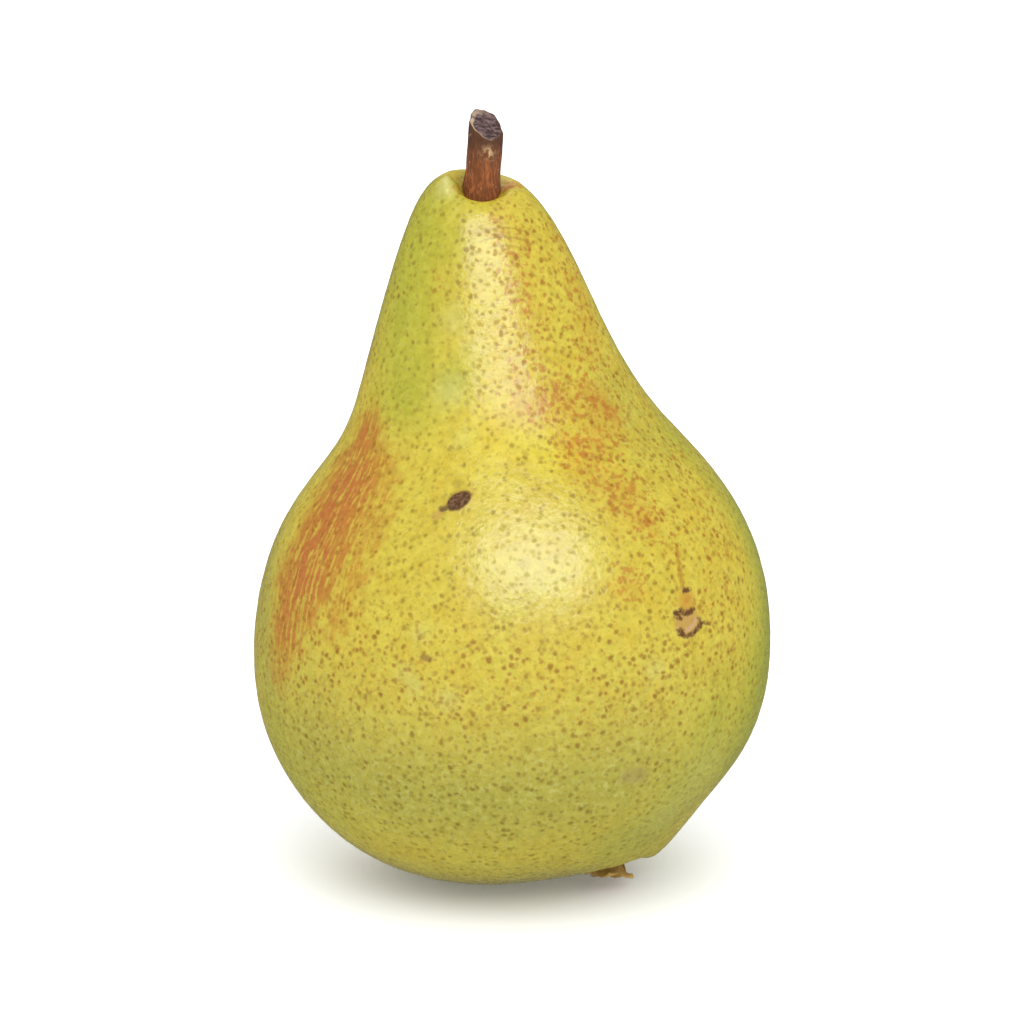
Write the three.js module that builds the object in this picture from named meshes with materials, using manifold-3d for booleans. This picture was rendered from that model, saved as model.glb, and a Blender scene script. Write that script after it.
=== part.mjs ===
// A ripe pear with its woody stem and dried calyx, standing on a small flat of its base.
// Millimetres, +Z up. The broad side is seen along +Y, with +X to the right, and the neck
// leans to the left. The origin is the middle of the underside of the pear's box.

import * as THREE from "three";
import { mergeVertices } from "three/addons/utils/BufferGeometryUtils.js";
import Module from "manifold-3d";

const wasm = await Module();
wasm.setup();

// Driving dimensions of the flesh
const BELLY_WIDTH = 70;
const DEPTH_SHARE = 0.98; // depth from front to back, as a share of the width
const LEAN_BACK = 4; // degrees that the whole pear leans away from the viewer
const SEAT_DEPTH = 0.6; // how much of the rounded base the flat seat takes away

// Driving dimensions of the hollow at the stem and of the basin at the calyx
const PIT_RADIUS = 5.6;
const PIT_DEPTH = 2.9;
const BASIN_RADIUS = 7;
const BASIN_DEPTH = 2.8;
const GAP = 0.3; // clearance between the flesh and a piece that sits in it

// Driving dimensions of the stem
const STEM_FOOT_RADIUS = 2.7;
const STEM_SHAFT_RADIUS = 2.5;
const STEM_ROOT_DEPTH = 4; // below the floor of the pit
const STEM_RISE = 9; // from the floor of the pit to the middle of the cut end
const STEM_FOOT_HEIGHT = 3; // the foot narrows to the shaft over this height
const CUT_RIM = 0.35; // width of the bark round the cut face
const CUT_BEVEL = 0.2; // the slope from the rim down to the cut face
const CUT_SINK = 0.3; // how far the cut face lies below its rim
const CUT_CORE = 1.4; // width of the outer ring of the cut face

// Driving dimensions of the calyx
const SEPAL_WIDTH = 3.4;
const SEPAL_THICKNESS = 0.8;
const SEPAL_TAPER = 0.75; // share of its width that a sepal loses at its tip
const SEPAL_THINNING = 0.25; // share of its thickness that it loses there
const DISC_RADIUS = 2.2; // the woody disc that carries the sepals
const DISC_DEPTH = 1.6; // how far the disc reaches into the flesh

// A sepal's middle line: out from the calyx axis and up from the disc, in millimetres
const SEPAL_ROOT = [[0.9, -0.6], [1.5, 0.7]];
const SEPAL_BLADE = [[2.2, 1.7], [3, 2.4], [4, 2.6]];

// The outline of the broad side, in hundredths of the belly width: left across, left up,
// right across, right up. It runs from the calyx to the stem, and each row is one section.
const OUTLINE = [
  [10, 1.6, 26, 4.4],
  [-1.5, 0.2, 31.5, 9.8],
  [-15, 1, 37, 16.6],
  [-29.5, 6.5, 43, 24.2],
  [-41.2, 17.8, 47.5, 33.2],
  [-48.4, 33, 49.6, 45],
  [-49.2, 51.5, 48.6, 60],
  [-44.7, 69, 43.7, 73],
  [-36.2, 81.5, 35.7, 84],
  [-31.1, 90.5, 27.3, 93],
  [-27.4, 104, 19.7, 105],
  [-23.7, 117, 13.8, 117.5],
  [-19.9, 128.5, 7.7, 129],
  [-15.9, 135.5, 2, 135.3],
  [-11, 137.7, -2.4, 137.3],
];
const OUTLINE_BOTTOM = [18.6, 2.1];
const OUTLINE_TOP = [-5.3, 138.2];

// Slow unevenness of the flesh, as shares of the section's radius
const SWELLINGS = [
  { share: 0.007, lobes: 2, turn: 0.9, twist: 0.35 },
  { share: 0.005, lobes: 3, turn: 2.1, twist: -0.5 },
  { share: 0.003, lobes: 5, turn: 0.3, twist: 0.25 },
];
const BASIN_FOLDS = { share: 0.03, lobes: 5, turn: 0.6, middle: 1.4, spread: 1.3 };

const STEM_RIDGES = [
  { share: 0.035, lobes: 5, turn: 0.7 },
  { share: 0.02, lobes: 11, turn: 0 },
];

// The five sepals, in degrees round the calyx, those at the viewer's side the longest
const SEPALS = [
  { turn: 13, reach: 0.72 },
  { turn: 85, reach: 0.95 },
  { turn: 157, reach: 1.05 },
  { turn: 229, reach: 0.85 },
  { turn: 301, reach: 0.78 },
];

// The calyx end is skewed towards the viewer, up to this section of the outline
const SKEW_REACH = 6;
const CALYX_FORWARD = 5; // millimetres at the calyx
const CALYX_SLOPE = 0.24; // rise of the base towards the viewer, per millimetre
const TOP_REACH = 4; // the top slopes towards the viewer over these last sections
const TOP_SLOPE = 0.34; // fall of the top towards the viewer, per millimetre

// A low lip of flesh to the left of the stem, and a dip in front of it, from the stem's middle
const LIP = { across: -4.7, forward: 2.4, radius: 3, height: 0.8 };
const DIP = { across: -0.3, forward: 3.4, radius: 4.6, depth: 1.7 };

const CALYX_AXIS = new THREE.Vector3(0.24, -0.36, -0.9).normalize();
const STEM_AXIS = new THREE.Vector3(0.07, 0, 1).normalize();
const CUT_NORMAL = new THREE.Vector3(0.35, -0.55, 0.76).normalize();

// Mesh density
const AROUND = 64;
const ROWS_PER_SECTION = 3;
const STEM_AROUND = 30;
const STEM_ROWS = 12;
const SEPAL_AROUND = 8;
const SEPAL_ROWS = 7;

const PERCENT = BELLY_WIDTH / 100;
const FULL_TURN = Math.PI * 2;
const UP = new THREE.Vector3(0, 0, 1);

// The whole outline as one closed smooth curve, right side up and left side down again
function outlineLoop() {
  const point = (across, up) => new THREE.Vector2(across, up).multiplyScalar(PERCENT);
  const right = OUTLINE.map((row) => point(row[2], row[3]));
  const left = OUTLINE.map((row) => point(row[0], row[1])).reverse();
  const through = [point(...OUTLINE_BOTTOM), ...right, point(...OUTLINE_TOP), ...left];
  const count = through.length;
  // A cubic B-spline cuts each corner by a sixth of its bend, so the corners go out by that
  return through.map((here, i) => {
    const before = through[(i + count - 1) % count];
    const after = through[(i + 1) % count];
    const bend = here.clone().multiplyScalar(2).sub(before).sub(after);
    return bend.divideScalar(6).add(here);
  });
}

function splinePoint(loop, station) {
  const count = loop.length;
  const whole = Math.floor(station);
  const t = station - whole;
  const weights = [
    (1 - t) ** 3,
    3 * t ** 3 - 6 * t ** 2 + 4,
    -3 * t ** 3 + 3 * t ** 2 + 3 * t + 1,
    t ** 3,
  ];
  const sum = new THREE.Vector2();
  weights.forEach((weight, k) => {
    sum.addScaledVector(loop[(whole - 1 + k + 2 * count) % count], weight / 6);
  });
  return sum;
}

// Pushes a point in along an axis, most on the axis and not at all at the radius
function press(point, centre, axis, radius, depth) {
  const offset = point.clone().sub(centre);
  const along = offset.dot(axis);
  const across = Math.sqrt(Math.max(offset.lengthSq() - along * along, 0));
  if (across < radius && Math.abs(along) < radius) {
    point.addScaledVector(axis, -depth * (1 - (across / radius) ** 2) ** 2);
  }
}

const LOOP = outlineLoop();
const TOP_STATION = OUTLINE.length + 1;

// The flesh at a station of the outline and an angle round it, before its hollows and lip
function smoothSkin(station, angle) {
  const left = splinePoint(LOOP, -station);
  const right = splinePoint(LOOP, station);
  const centre = left.clone().add(right).multiplyScalar(0.5);
  const half = right.clone().sub(left).multiplyScalar(0.5);

  let share = 1;
  for (const wave of SWELLINGS) {
    share += wave.share * Math.sin(wave.lobes * angle + wave.turn + wave.twist * station);
  }
  const fold = Math.exp(-(((station - BASIN_FOLDS.middle) / BASIN_FOLDS.spread) ** 2));
  share += BASIN_FOLDS.share * fold * Math.cos(BASIN_FOLDS.lobes * angle + BASIN_FOLDS.turn);

  const across = Math.cos(angle) * share;
  const back = Math.sin(angle) * share * half.length() * DEPTH_SHARE;
  const skew = Math.max(1 - station / SKEW_REACH, 0) ** 2;
  const topSkew = Math.max(1 - (TOP_STATION - station) / TOP_REACH, 0) ** 2;
  return new THREE.Vector3(
    centre.x + half.x * across,
    back - CALYX_FORWARD * skew,
    centre.y + half.y * across + back * (TOP_SLOPE * topSkew - CALYX_SLOPE * skew),
  );
}

const CALYX_POLE = smoothSkin(0, 0);
const STEM_POLE = smoothSkin(TOP_STATION, 0);
const BASIN_FLOOR = CALYX_POLE.clone().addScaledVector(CALYX_AXIS, -BASIN_DEPTH);
const PIT_FLOOR = STEM_POLE.clone().addScaledVector(STEM_AXIS, -PIT_DEPTH);
const LIP_MIDDLE = besideStem(LIP);
const DIP_MIDDLE = besideStem(DIP);

function besideStem({ across, forward }) {
  return STEM_POLE.clone().add(new THREE.Vector3(across, -forward, 0));
}

function skin(station, angle) {
  const point = smoothSkin(station, angle);
  press(point, CALYX_POLE, CALYX_AXIS, BASIN_RADIUS, BASIN_DEPTH);
  press(point, STEM_POLE, STEM_AXIS, PIT_RADIUS, PIT_DEPTH);
  press(point, LIP_MIDDLE, STEM_AXIS, LIP.radius, -LIP.height);
  press(point, DIP_MIDDLE, STEM_AXIS, DIP.radius, DIP.depth);
  return point;
}

// A closed surface from rings of points, with a pole point before and after them
function ringGeometry(firstPole, rings, lastPole) {
  const around = rings[0].length;
  const points = [firstPole, ...rings.flat(), lastPole];
  const lastRing = 1 + (rings.length - 1) * around;
  const index = [];
  for (let j = 0; j < around; j++) {
    const next = (j + 1) % around;
    index.push(0, 1 + next, 1 + j);
    for (let low = 1; low < lastRing; low += around) {
      const high = low + around;
      index.push(low + j, low + next, high + next);
      index.push(low + j, high + next, high + j);
    }
    index.push(lastRing + j, lastRing + next, points.length - 1);
  }
  const geometry = new THREE.BufferGeometry().setFromPoints(points);
  geometry.setIndex(index);
  return geometry;
}

function toSolid(geometry) {
  const bare = geometry.clone();
  bare.deleteAttribute("normal");
  bare.deleteAttribute("uv");
  const merged = mergeVertices(bare);
  const mesh = new wasm.Mesh({
    numProp: 3,
    vertProperties: new Float32Array(merged.attributes.position.array),
    triVerts: new Uint32Array(merged.index.array),
  });
  return new wasm.Manifold(mesh);
}

function toGeometry(solid) {
  const mesh = solid.getMesh();
  const geometry = new THREE.BufferGeometry();
  geometry.setAttribute("position", new THREE.BufferAttribute(mesh.vertProperties, 3));
  geometry.setIndex(new THREE.BufferAttribute(mesh.triVerts, 1));
  return geometry;
}

// A round pin that starts at a point and runs along an axis
function pinSolid(start, axis, radius, length) {
  const geometry = new THREE.CylinderGeometry(radius, radius, length, STEM_AROUND);
  geometry.rotateX(Math.PI / 2).translate(0, 0, length / 2);
  geometry.applyQuaternion(new THREE.Quaternion().setFromUnitVectors(UP, axis));
  geometry.translate(start.x, start.y, start.z);
  return toSolid(geometry);
}

// The flesh with its skin, and the two sockets that hold the stem and the calyx
function fruitSolid() {
  const rings = [];
  for (let i = 1; i < TOP_STATION * ROWS_PER_SECTION; i++) {
    const angles = Array.from({ length: AROUND }, (_, j) => (FULL_TURN * j) / AROUND);
    rings.push(angles.map((angle) => skin(i / ROWS_PER_SECTION, angle)));
  }
  const flesh = toSolid(ringGeometry(skin(0, 0), rings, skin(TOP_STATION, 0)));

  const stemSocket = pinSolid(
    PIT_FLOOR.clone().addScaledVector(STEM_AXIS, -STEM_ROOT_DEPTH - GAP),
    STEM_AXIS,
    STEM_FOOT_RADIUS + GAP,
    STEM_ROOT_DEPTH + PIT_DEPTH + GAP,
  );
  const calyxSocket = pinSolid(
    BASIN_FLOOR.clone().addScaledVector(CALYX_AXIS, -DISC_DEPTH - GAP),
    CALYX_AXIS,
    DISC_RADIUS + GAP,
    DISC_DEPTH + BASIN_DEPTH + GAP,
  );
  return flesh.subtract(stemSocket).subtract(calyxSocket);
}

// The woody stem: a foot in its socket, a ridged shaft, and a slanting cut with a low rim
function stemGeometry() {
  const root = PIT_FLOOR.clone().addScaledVector(STEM_AXIS, -STEM_ROOT_DEPTH);
  const length = STEM_ROOT_DEPTH + STEM_RISE;
  const cut = root.clone().addScaledVector(STEM_AXIS, length);
  const turn = new THREE.Quaternion().setFromUnitVectors(UP, STEM_AXIS);
  const slope = CUT_NORMAL.clone().applyQuaternion(turn.clone().invert());
  const angles = Array.from({ length: STEM_AROUND }, (_, j) => (FULL_TURN * j) / STEM_AROUND);

  // The wood is straight-sided in its socket, then narrows to a shaft with shallow ridges
  const radius = (height, angle) => {
    const foot = 1 - THREE.MathUtils.smoothstep(height - STEM_ROOT_DEPTH, 0, STEM_FOOT_HEIGHT);
    const plain = STEM_SHAFT_RADIUS + (STEM_FOOT_RADIUS - STEM_SHAFT_RADIUS) * foot;
    let ridges = 0;
    for (const wave of STEM_RIDGES) {
      ridges += wave.share * (Math.cos(wave.lobes * angle + wave.turn) - 1);
    }
    return plain * (1 + ridges * (1 - foot));
  };
  // The share goes up the stem, the inset into the cut face and the sink down below its rim
  const ring = (share, inset, sink) =>
    angles.map((angle) => {
      const r = radius(length * share, angle) - inset;
      const x = r * Math.cos(angle);
      const y = r * Math.sin(angle);
      const cutHeight = length - (slope.x * x + slope.y * y) / slope.z;
      const point = new THREE.Vector3(x, y, cutHeight * share - sink);
      return point.applyQuaternion(turn).add(root);
    });

  const rings = [];
  for (let i = 0; i <= STEM_ROWS; i++) {
    rings.push(ring(i / STEM_ROWS, 0, 0));
  }
  rings.push(ring(1, CUT_RIM, 0));
  rings.push(ring(1, CUT_RIM + CUT_BEVEL, CUT_SINK));
  rings.push(ring(1, CUT_CORE, CUT_SINK));
  return ringGeometry(root, rings, cut.addScaledVector(STEM_AXIS, -CUT_SINK));
}

// One dried sepal: a broad tongue that rises from the disc and spreads out at its tip
function sepalSolid(angle, reach) {
  const blade = SEPAL_BLADE.map(([out, up]) => [out * reach, up * reach]);
  const middleLine = [...SEPAL_ROOT, ...blade];
  const path = new THREE.CatmullRomCurve3(
    middleLine.map(([out, up]) => new THREE.Vector3(out, 0, up)),
  );
  const rings = [];
  for (let i = 0; i <= SEPAL_ROWS; i++) {
    const share = i / SEPAL_ROWS;
    const centre = path.getPoint(share);
    const along = path.getTangent(share);
    const out = new THREE.Vector3(along.z, 0, -along.x);
    const halfWidth = (SEPAL_WIDTH / 2) * (1 - SEPAL_TAPER * share ** 2);
    const halfThick = (SEPAL_THICKNESS / 2) * (1 - SEPAL_THINNING * share);
    const ring = [];
    for (let j = 0; j < SEPAL_AROUND; j++) {
      const a = (FULL_TURN * j) / SEPAL_AROUND;
      const point = centre.clone().addScaledVector(out, halfThick * Math.cos(a));
      point.y += halfWidth * Math.sin(a);
      ring.push(point);
    }
    rings.push(ring);
  }
  const tip = path.getPoint(1).addScaledVector(path.getTangent(1), SEPAL_THICKNESS / 2);
  const geometry = ringGeometry(path.getPoint(0), rings, tip);
  return toSolid(geometry.rotateZ(angle));
}

function calyxSolid() {
  const discFoot = new THREE.Vector3(0, 0, -DISC_DEPTH);
  let solid = pinSolid(discFoot, UP, DISC_RADIUS, DISC_DEPTH);
  for (const sepal of SEPALS) {
    solid = solid.add(sepalSolid(THREE.MathUtils.degToRad(sepal.turn), sepal.reach));
  }
  const geometry = toGeometry(solid);
  geometry.applyQuaternion(new THREE.Quaternion().setFromUnitVectors(UP, CALYX_AXIS));
  return geometry.translate(BASIN_FLOOR.x, BASIN_FLOOR.y, BASIN_FLOOR.z);
}

function skinMaterial() {
  return new THREE.MeshStandardMaterial({ color: 0xd0c050, roughness: 0.42, metalness: 0 });
}

function barkMaterial() {
  return new THREE.MeshStandardMaterial({ color: 0x5a3218, roughness: 0.75, metalness: 0 });
}

function driedSepalMaterial() {
  return new THREE.MeshStandardMaterial({ color: 0x6b4a26, roughness: 0.85, metalness: 0 });
}

// Leans the pear back, cuts its flat seat and moves its box to the origin
function standUp(fruit, stem, calyx) {
  for (const geometry of [fruit, stem, calyx]) {
    geometry.rotateX(THREE.MathUtils.degToRad(-LEAN_BACK));
  }
  fruit.computeBoundingBox();
  const seat = fruit.boundingBox.min.z + SEAT_DEPTH;
  const below = new THREE.BoxGeometry(2 * BELLY_WIDTH, 2 * BELLY_WIDTH, BELLY_WIDTH);
  below.translate(0, 0, seat - BELLY_WIDTH / 2);
  const seated = toGeometry(toSolid(fruit).subtract(toSolid(below)));
  seated.computeBoundingBox();
  const middle = seated.boundingBox.getCenter(new THREE.Vector3());
  for (const geometry of [seated, stem, calyx]) {
    geometry.translate(-middle.x, -middle.y, -seat);
  }
  return [seated, stem, calyx];
}

const pear = new THREE.Group();
const shapes = standUp(toGeometry(fruitSolid()), stemGeometry(), calyxSolid());
const materials = [skinMaterial(), barkMaterial(), driedSepalMaterial()];
["fruit", "stem", "calyx"].forEach((name, i) => {
  const mesh = new THREE.Mesh(shapes[i], materials[i]);
  mesh.name = name;
  pear.add(mesh);
});

export default pear;
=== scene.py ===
"""A ripe yellow pear with a faint orange blush, its woody stem and its dried calyx.

Metres, Z up, the origin in the middle of the underside. Shapes are worked out in millimetres, in the pear's
own pose, and stood up at the end.
"""

import math
import random

import bpy
import numpy as np
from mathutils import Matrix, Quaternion, Vector, noise


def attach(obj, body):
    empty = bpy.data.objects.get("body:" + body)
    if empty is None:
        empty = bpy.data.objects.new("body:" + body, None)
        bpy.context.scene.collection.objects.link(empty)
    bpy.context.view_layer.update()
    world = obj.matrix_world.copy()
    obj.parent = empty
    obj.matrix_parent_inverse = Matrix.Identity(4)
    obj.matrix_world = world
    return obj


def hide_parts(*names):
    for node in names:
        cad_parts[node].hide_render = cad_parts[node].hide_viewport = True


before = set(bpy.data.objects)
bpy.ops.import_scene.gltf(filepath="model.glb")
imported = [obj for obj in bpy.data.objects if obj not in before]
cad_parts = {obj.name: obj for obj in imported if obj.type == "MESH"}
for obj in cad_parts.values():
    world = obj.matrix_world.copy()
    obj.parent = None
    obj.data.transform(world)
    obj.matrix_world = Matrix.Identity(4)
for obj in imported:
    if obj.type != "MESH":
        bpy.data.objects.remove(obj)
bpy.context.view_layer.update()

MM = 0.001

# The same named values as the solids have

BELLY_WIDTH = 70
DEPTH_SHARE = 0.98
LEAN_BACK = math.radians(4)
SEAT_DEPTH = 0.6

PIT_RADIUS = 5.6
PIT_DEPTH = 2.9
BASIN_RADIUS = 7
BASIN_DEPTH = 2.8

STEM_FOOT_RADIUS = 2.7
STEM_SHAFT_RADIUS = 2.5
STEM_ROOT_DEPTH = 4
STEM_RISE = 9
STEM_FOOT_HEIGHT = 3
CUT_RIM = 0.35
CUT_SINK = 0.3

DISC_RADIUS = 2.2
DISC_DEPTH = 1.6
SEPAL_WIDTH = 3.4
SEPAL_TAPER = 0.75
SEPAL_ROOT = [(0.9, -0.6), (1.5, 0.7)]
SEPAL_BLADE = [(2.2, 1.7), (3, 2.4), (4, 2.6)]
SEPALS = [(13, 0.72), (85, 0.95), (157, 1.05), (229, 0.85), (301, 0.78)]  # turn in degrees, reach

# Left across, left up, right across, right up, in hundredths of the belly width
OUTLINE = [
    (10, 1.6, 26, 4.4),
    (-1.5, 0.2, 31.5, 9.8),
    (-15, 1, 37, 16.6),
    (-29.5, 6.5, 43, 24.2),
    (-41.2, 17.8, 47.5, 33.2),
    (-48.4, 33, 49.6, 45),
    (-49.2, 51.5, 48.6, 60),
    (-44.7, 69, 43.7, 73),
    (-36.2, 81.5, 35.7, 84),
    (-31.1, 90.5, 27.3, 93),
    (-27.4, 104, 19.7, 105),
    (-23.7, 117, 13.8, 117.5),
    (-19.9, 128.5, 7.7, 129),
    (-15.9, 135.5, 2, 135.3),
    (-11, 137.7, -2.4, 137.3),
]
OUTLINE_BOTTOM = (18.6, 2.1)
OUTLINE_TOP = (-5.3, 138.2)

SWELLINGS = [(0.007, 2, 0.9, 0.35), (0.005, 3, 2.1, -0.5), (0.003, 5, 0.3, 0.25)]  # share, lobes, turn, twist
BASIN_FOLDS = {"share": 0.03, "lobes": 5, "turn": 0.6, "middle": 1.4, "spread": 1.3}
STEM_RIDGES = [(0.035, 5, 0.7), (0.02, 11, 0)]  # share, lobes, turn

SKEW_REACH = 6
CALYX_FORWARD = 5
CALYX_SLOPE = 0.24
TOP_REACH = 4
TOP_SLOPE = 0.34
LIP = {"across": -4.7, "forward": 2.4, "radius": 3, "depth": -0.8}
DIP = {"across": -0.3, "forward": 3.4, "radius": 4.6, "depth": 1.7}

CALYX_AXIS = Vector((0.24, -0.36, -0.9)).normalized()
STEM_AXIS = Vector((0.07, 0, 1)).normalized()
CUT_NORMAL = Vector((0.35, -0.55, 0.76)).normalized()

# The fine skin

AROUND = 400
ROWS_PER_SECTION = 26
SKIN_INSET = 0.06  # keeps the finer skin inside the solids' box
PEEL_WAVES = (0.55, 1.3)  # of its low unevenness, per millimetre, slow and quick
PEEL_QUICK_SHARE = 0.6
PEEL_DEPTH = 0.035
STEM_CREASE = {"depth": 0.25, "reach": 3.4}
GROWTH_RADIUS = 28  # of the tube on which the streaks of the skin are drawn
VIEW_DOWN = math.radians(16)  # how far the camera looks down


def outline_loop():
    """Control points of the closed outline: up the right side, over the top, and down the left side."""
    right = [(row[2], row[3]) for row in OUTLINE]
    left = [(row[0], row[1]) for row in reversed(OUTLINE)]
    through = np.array([OUTLINE_BOTTOM, *right, OUTLINE_TOP, *left], float) * BELLY_WIDTH / 100
    bend = 2 * through - np.roll(through, 1, axis=0) - np.roll(through, -1, axis=0)
    return through + bend / 6


LOOP = outline_loop()
TOP_STATION = len(OUTLINE) + 1


def spline_points(stations):
    """Points of the outline's cubic B-spline."""
    whole = np.floor(stations).astype(int)
    t = stations - whole
    weights = [(1 - t) ** 3, 3 * t**3 - 6 * t**2 + 4, -3 * t**3 + 3 * t**2 + 3 * t + 1, t**3]
    return sum(w[:, None] / 6 * LOOP[(whole - 1 + k) % len(LOOP)] for k, w in enumerate(weights))


def smooth_skin(stations, angles):
    """Points of the flesh at stations of the outline and angles round it, before the two hollows."""
    left, right = spline_points(-stations), spline_points(stations)
    centre, half = (left + right) / 2, (right - left) / 2
    share = np.ones(len(stations))
    for size, lobes, turn, twist in SWELLINGS:
        share += size * np.sin(lobes * angles + turn + twist * stations)
    fold = np.exp(-(((stations - BASIN_FOLDS["middle"]) / BASIN_FOLDS["spread"]) ** 2))
    share += BASIN_FOLDS["share"] * fold * np.cos(BASIN_FOLDS["lobes"] * angles + BASIN_FOLDS["turn"])
    across = np.cos(angles) * share
    back = np.sin(angles) * share * np.hypot(half[:, 0], half[:, 1]) * DEPTH_SHARE
    skew = np.clip(1 - stations / SKEW_REACH, 0, None) ** 2
    top_skew = np.clip(1 - (TOP_STATION - stations) / TOP_REACH, 0, None) ** 2
    return np.column_stack(
        (
            centre[:, 0] + half[:, 0] * across,
            back - CALYX_FORWARD * skew,
            centre[:, 1] + half[:, 1] * across + back * (TOP_SLOPE * top_skew - CALYX_SLOPE * skew),
        )
    )


def press(points, centre, axis, radius, depth):
    """Moves points in along an axis, most on the axis and not at all at the radius."""
    axis = np.array(axis)
    offset = points - np.array(centre)
    along = offset @ axis
    across = np.sqrt(np.clip((offset**2).sum(1) - along**2, 0, None))
    near = (across < radius) & (np.abs(along) < radius)
    fall = np.where(near, (1 - (across / radius) ** 2) ** 2, 0)
    return points - np.outer(depth * fall, axis)


POLES = smooth_skin(np.array([0.0, TOP_STATION]), np.zeros(2))
CALYX_POLE, STEM_POLE = Vector(POLES[0]), Vector(POLES[1])
BASIN_FLOOR = CALYX_POLE - CALYX_AXIS * BASIN_DEPTH
PIT_FLOOR = STEM_POLE - STEM_AXIS * PIT_DEPTH


def skin(stations, angles):
    """Points of the flesh with its basin, its pit, and the lip and dip beside the stem."""
    points = smooth_skin(stations, angles)
    points = press(points, CALYX_POLE, CALYX_AXIS, BASIN_RADIUS, BASIN_DEPTH)
    points = press(points, STEM_POLE, STEM_AXIS, PIT_RADIUS, PIT_DEPTH)
    for spot in (LIP, DIP):
        middle = STEM_POLE + Vector((spot["across"], -spot["forward"], 0))
        points = press(points, middle, STEM_AXIS, spot["radius"], spot["depth"])
    return points


def leaned(points):
    """The points after the whole pear has leaned back."""
    c, s = math.cos(LEAN_BACK), math.sin(LEAN_BACK)
    y, z = points[:, 1], points[:, 2]
    return np.column_stack((points[:, 0], y * c + z * s, z * c - y * s))


def ring_faces(count, around):
    """Faces between the rings of so many points, the first and last of which are poles."""
    rings = (count - 2) // around
    j = np.arange(around)
    following = (j + 1) % around
    faces = [(0, 1 + b, 1 + a) for a, b in zip(j, following)]
    for i in range(rings - 1):
        low = 1 + i * around
        high = low + around
        faces += [(low + a, low + b, high + b, high + a) for a, b in zip(j, following)]
    last = 1 + (rings - 1) * around
    faces += [(last + a, last + b, 1 + rings * around) for a, b in zip(j, following)]
    return faces


def grid_normals(points, rings, around):
    """Outward normals of a ring grid between the pole of the calyx and the pole of the stem."""
    grid = points[1:-1].reshape(rings, around, 3)
    round_step = np.roll(grid, -1, axis=1) - np.roll(grid, 1, axis=1)
    up_step = np.gradient(grid, axis=0)
    normals = np.cross(round_step, up_step).reshape(-1, 3)
    normals /= np.linalg.norm(normals, axis=1)[:, None] + 1e-12
    return np.vstack((np.array(CALYX_AXIS), normals, np.array(STEM_AXIS)))


def skin_grid():
    """The fine skin, leaned back, seated and centred; its number of rings; and how far it was moved."""
    rings = TOP_STATION * ROWS_PER_SECTION - 1
    stations = np.repeat(np.arange(1, rings + 1) / ROWS_PER_SECTION, AROUND)
    angles = np.tile(np.arange(AROUND) * math.tau / AROUND, rings)
    stations = np.concatenate(([0.0], stations, [TOP_STATION]))
    angles = np.concatenate(([0.0], angles, [0.0]))
    points = leaned(skin(stations, angles))
    seat = points[:, 2].min() + SEAT_DEPTH
    middle = (points.min(0) + points.max(0)) / 2
    shift = np.array((-middle[0], -middle[1], -seat))
    return points + shift, rings, shift


SKIN, SKIN_RINGS, SHIFT = skin_grid()
SKIN_NORMALS = grid_normals(SKIN, SKIN_RINGS, AROUND)
VIEW_UP = np.array((0, math.sin(VIEW_DOWN), math.cos(VIEW_DOWN)))
VIEW_BACK = np.array((0, -math.cos(VIEW_DOWN), math.sin(VIEW_DOWN)))


def stood(vector):
    """A point of the pear's own pose where the standing pear has it."""
    return leaned(np.array([vector]))[0] + SHIFT


def seen_at(across, up):
    """The skin point that the front view shows this far across and up, in millimetres."""
    turned_away = SKIN_NORMALS @ VIEW_BACK <= 0.05
    misses = np.hypot(SKIN[:, 0] - across, SKIN @ VIEW_UP - up) + np.where(turned_away, 1e3, 0)
    return SKIN[int(misses.argmin())]


# Where the colours lie: front-view spots (across, up), reach in millimetres, strength

BAND = [
    ([(-19.5, 59), (-20.2, 55)], 4.2, 0.9),
    ([(-21.8, 52.5), (-23.8, 48), (-25.6, 44), (-27.6, 40)], 7.8, 1.0),
    ([(-29, 37.5), (-29.8, 33.5)], 5.6, 0.85),
    ([(-30, 32), (-31, 28)], 4.6, 0.5),
    ([(-16.5, 54), (-18, 48), (-20.5, 41), (-23, 34)], 4.4, 0.48),
]
# Orange mottle, and one spot of painted shade in the hollow left of the stem
MOTTLE_AND_SHADE = [
    ([(2.5, 62.5), (8, 63), (12.5, 61), (9, 55.5), (14, 51), (18, 47.5)], 4.4, 0.56),
    ([(10, 64.5), (13, 61.5)], 2.6, 0.8),
    ([(7, 57.5), (11.5, 57.5)], 2.0, 0.7),
    ([(17, 47)], 2.6, 0.62),
    ([(15.5, 39.5)], 3.4, 0.52),
    ([(7, 84), (9.5, 76), (10.5, 69)], 4.4, 0.44),
    ([(0, 85), (2.5, 75), (1.5, 66)], 4.4, 0.42),
    ([(-0.3, 91.9)], 1.9, 1.2),
    # painted shade between the lip and the stem
    ([(-7.3, 91.2)], 0.9, 0.9),
    ([(-20, 70.5)], 3, 0.4),
    ([(-9, 79)], 3, 0.34),
    ([(-22, 31), (-10, 30), (4, 26)], 6, 0.12),
    ([(22, 56), (27, 46), (27, 36)], 6, 0.24),
]
# Pale patches of the skin, and painted highlights on the lip beside the stem, on the neck and in the middle
# of the belly
PALE_AND_HIGHLIGHT_PATCHES = [
    # painted highlight on the lip
    ([(-8.7, 91.3)], 1.6, 1.2),
    ([(-8.2, 64.6)], 2.4, 0.75),
    ([(-7.6, 73.6)], 2.0, 0.6),
    # painted highlight on the neck
    ([(-5, 70)], 1.6, 0.5),
    ([(-6.5, 58.5)], 2.0, 0.5),
    ([(-14, 27.5), (-12.5, 25.5)], 1.2, 0.5),
    # painted highlight on the belly
    ([(2, 40)], 7, 0.5),
    ([(18.7, 27.8)], 1.5, 0.6),
    ([(-8.3, 24)], 1.5, 0.6),
    ([(-12.3, 32.5)], 1.4, 0.5),
    ([(25, 14), (20, 8)], 5, 0.35),
]
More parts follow.
